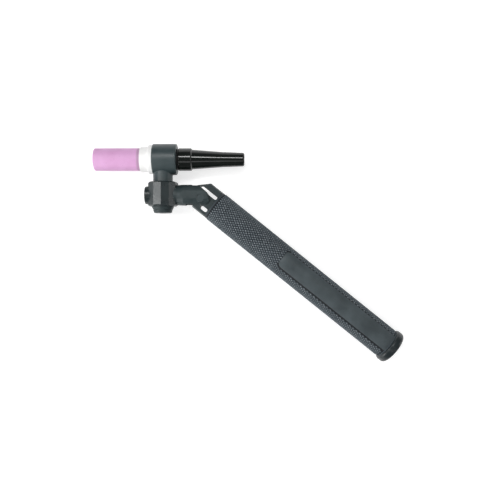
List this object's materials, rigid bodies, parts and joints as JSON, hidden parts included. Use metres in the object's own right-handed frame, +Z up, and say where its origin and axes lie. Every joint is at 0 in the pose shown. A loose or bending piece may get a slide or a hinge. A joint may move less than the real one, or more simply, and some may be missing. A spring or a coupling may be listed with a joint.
{
  "type": "tig torch",
  "caption": "Slim arc welding torch with a ceramic cup, a swivelling head on a tilting arm, and a knurled handle that twists to lock the angle.",
  "frame": {"origin": "on the bench, under the middle of the torch as it lies on its side", "axes": "+X along the head from the cup to the back cap, +Y from the swivel joint up the neck to the head, +Z up from the bench, along the hinge pin"},
  "size_m": [0.2016, 0.142, 0.0226],
  "materials": {
    "cup_ceramic": "fine fired alumina, dusty pink, with a dull sheen",
    "shield_plastic": "white heat-resistant plastic, turned and left matt",
    "copper": "turned copper, slightly dulled by heat",
    "brass": "turned brass",
    "steel": "turned steel",
    "blackened_brass": "turned brass, chemically blackened",
    "black_steel": "steel with a black oxide finish",
    "head_moulding": "charcoal moulded cover with a fine satin surface",
    "body_moulding": "charcoal glass-filled moulding with a fine satin surface",
    "cap_moulding": "glossy black moulded cap",
    "grip_moulding": "black moulded sleeve, knurled, with a smooth bare band",
    "rim_rubber": "smooth charcoal rubber rim with a satin surface",
    "seal_rubber": "smooth black rubber",
    "slide_plastic": "low-friction plastic, off-white"
  },
  "bodies": {
    "handle": {"handle_nose": "body_moulding", "core_tube": "brass", "thrust_washer": "slide_plastic", "stop_nut": "brass", "guide_bush": "slide_plastic", "cable_stem": "brass", "release_spring": "steel"},
    "lock": {"push_collar": "steel", "lock_plungers": "steel"},
    "grip": {"grip_sleeve": "grip_moulding", "drive_nut": "brass", "rear_collar": "rim_rubber"},
    "arm": {"arm": "body_moulding", "arm_tube": "brass", "hinge_pin": "blackened_brass", "pin_plug": "blackened_brass", "pin_o_rings": "seal_rubber", "pin_screws": "black_steel", "hinge_washers": "slide_plastic", "swivel_body": "body_moulding", "bottom_cap": "body_moulding", "side_plug": "body_moulding", "side_plug_o_ring": "seal_rubber", "friction_pad": "slide_plastic"},
    "head": {"heat_shield": "shield_plastic", "collet_body": "copper", "collet": "copper", "head_core": "brass", "head_cover": "head_moulding", "neck_spindle": "brass", "spindle_o_rings": "seal_rubber", "spindle_washer": "steel", "spindle_nut": "brass"},
    "cup": {"cup": "cup_ceramic"},
    "cap_ring": {"back_cap_o_ring": "seal_rubber"},
    "cap": {"back_cap": "cap_moulding", "back_cap_stud": "brass"}
  },
  "joints": [
    {"name": "arm_tilt", "type": "hinge", "parent": "handle", "child": "arm", "pos_m": [-0.03157, 0.03515, 0.0113], "axis": [0, 0, 1], "range_deg": [-38.75, 51.25]},
    {"name": "head_swivel", "type": "hinge", "parent": "arm", "child": "head", "pos_m": [-0.05625, 0.03748, 0.0113], "axis": [0, 1, 0], "continuous": true},
    {"name": "grip_twist", "type": "hinge", "parent": "handle", "child": "grip", "pos_m": [-0.03075, 0.03748, 0.0113], "axis": [0.7799, -0.6259, 0], "range_deg": [0, 90]},
    {"name": "lock_feed", "type": "slide", "parent": "handle", "child": "lock", "axis": [0.7799, -0.6259, 0], "range_m": [0, 0.0005]},
    {"name": "back_cap_feed", "type": "slide", "parent": "head", "child": "cap_ring", "axis": [1, 0, 0], "range_m": [0, 0.0016]},
    {"name": "back_cap_turn", "type": "hinge", "parent": "cap_ring", "child": "cap", "pos_m": [-0.04695, 0.06088, 0.0113], "axis": [1, 0, 0], "range_deg": [0, 720]},
    {"name": "cup_turn", "type": "hinge", "parent": "head", "child": "cup", "pos_m": [-0.07625, 0.06088, 0.0113], "axis": [-1, 0, 0], "range_deg": [0, 360]}
  ],
  "couplings": [
    {"joint": "lock_feed", "follows": "grip_twist", "m_per_rad": 0.00031831},
    {"joint": "back_cap_feed", "follows": "back_cap_turn", "m_per_rad": 0.00012633}
  ]
}
